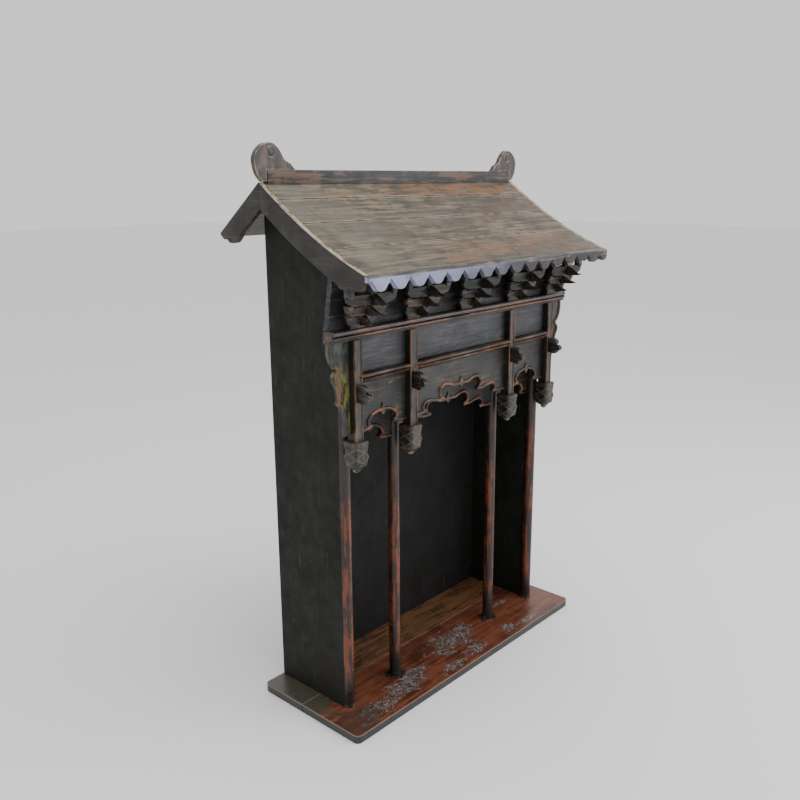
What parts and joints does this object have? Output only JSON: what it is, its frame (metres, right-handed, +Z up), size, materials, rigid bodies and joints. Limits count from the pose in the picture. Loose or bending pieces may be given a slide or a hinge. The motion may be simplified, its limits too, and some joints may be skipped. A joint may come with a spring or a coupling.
{
  "type": "altar shrine",
  "caption": "Carved wooden altar shrine: open-fronted cabinet on a plank base, columns, hung carved facade, bracketed eaves and a gabled plank roof with ridge finials.",
  "frame": {"origin": "centre of the base's underside", "axes": "+Z up, +X to the right seen from the front, the open front faces -Y"},
  "size_m": [0.8516, 0.419, 1.1968],
  "materials": {
    "base_wood": "worn red-brown lacquer",
    "cabinet_wood": "very dark, dull old paint",
    "column_wood": "worn red-brown lacquer",
    "rail_wood": "dark lacquer, worn orange-brown on the beads",
    "carved_wood": "dark lacquer, worn tan on the high points",
    "screen_wood": "slate-dark old paint over open grain",
    "blue_grey_wood": "blue-grey patina with a low sheen",
    "roof_wood": "dry weathered planks with brown worn streaks"
  },
  "bodies": {
    "root": {"base_board_front": "base_wood", "base_board_rear": "base_wood", "side_panel_left": "cabinet_wood", "side_panel_right": "cabinet_wood", "back_panel": "cabinet_wood", "corner_post_left": "column_wood", "corner_post_right": "column_wood", "column_left": "column_wood", "column_right": "column_wood", "inner_lintel": "cabinet_wood", "top_rail": "rail_wood", "bottom_rail_left": "rail_wood", "bottom_rail_centre": "rail_wood", "bottom_rail_right": "rail_wood", "hanging_post_outer_left": "rail_wood", "hanging_post_inner_left": "rail_wood", "hanging_post_inner_right": "rail_wood", "hanging_post_outer_right": "rail_wood", "lotus_finial_outer_left": "carved_wood", "lotus_finial_inner_left": "carved_wood", "lotus_finial_inner_right": "carved_wood", "lotus_finial_outer_right": "carved_wood", "tie_beam_outer_left": "carved_wood", "tie_beam_inner_left": "carved_wood", "tie_beam_inner_right": "carved_wood", "tie_beam_outer_right": "carved_wood", "frieze_panel_left": "screen_wood", "frieze_panel_centre": "screen_wood", "frieze_panel_right": "screen_wood", "apron_left": "screen_wood", "apron_centre": "screen_wood", "apron_right": "screen_wood", "inner_apron_left": "screen_wood", "inner_apron_centre": "screen_wood", "inner_apron_right": "screen_wood", "wing_left": "screen_wood", "wing_right": "screen_wood", "bracket_board": "blue_grey_wood", "bracket_set_1": "carved_wood", "bracket_set_2": "carved_wood", "bracket_set_3": "carved_wood", "bracket_set_4": "carved_wood", "bracket_set_5": "carved_wood", "eave_purlin": "carved_wood", "roof_front_plank_1": "roof_wood", "roof_front_plank_2": "roof_wood", "roof_front_plank_3": "roof_wood", "roof_front_plank_4": "roof_wood", "roof_rear_board": "roof_wood", "barge_board_front_left": "cabinet_wood", "barge_board_front_right": "cabinet_wood", "barge_board_rear_left": "cabinet_wood", "barge_board_rear_right": "cabinet_wood", "fascia": "blue_grey_wood", "ridge_beam": "blue_grey_wood", "ridge_finial_left": "carved_wood", "ridge_finial_right": "carved_wood"}
  },
  "joints": []
}
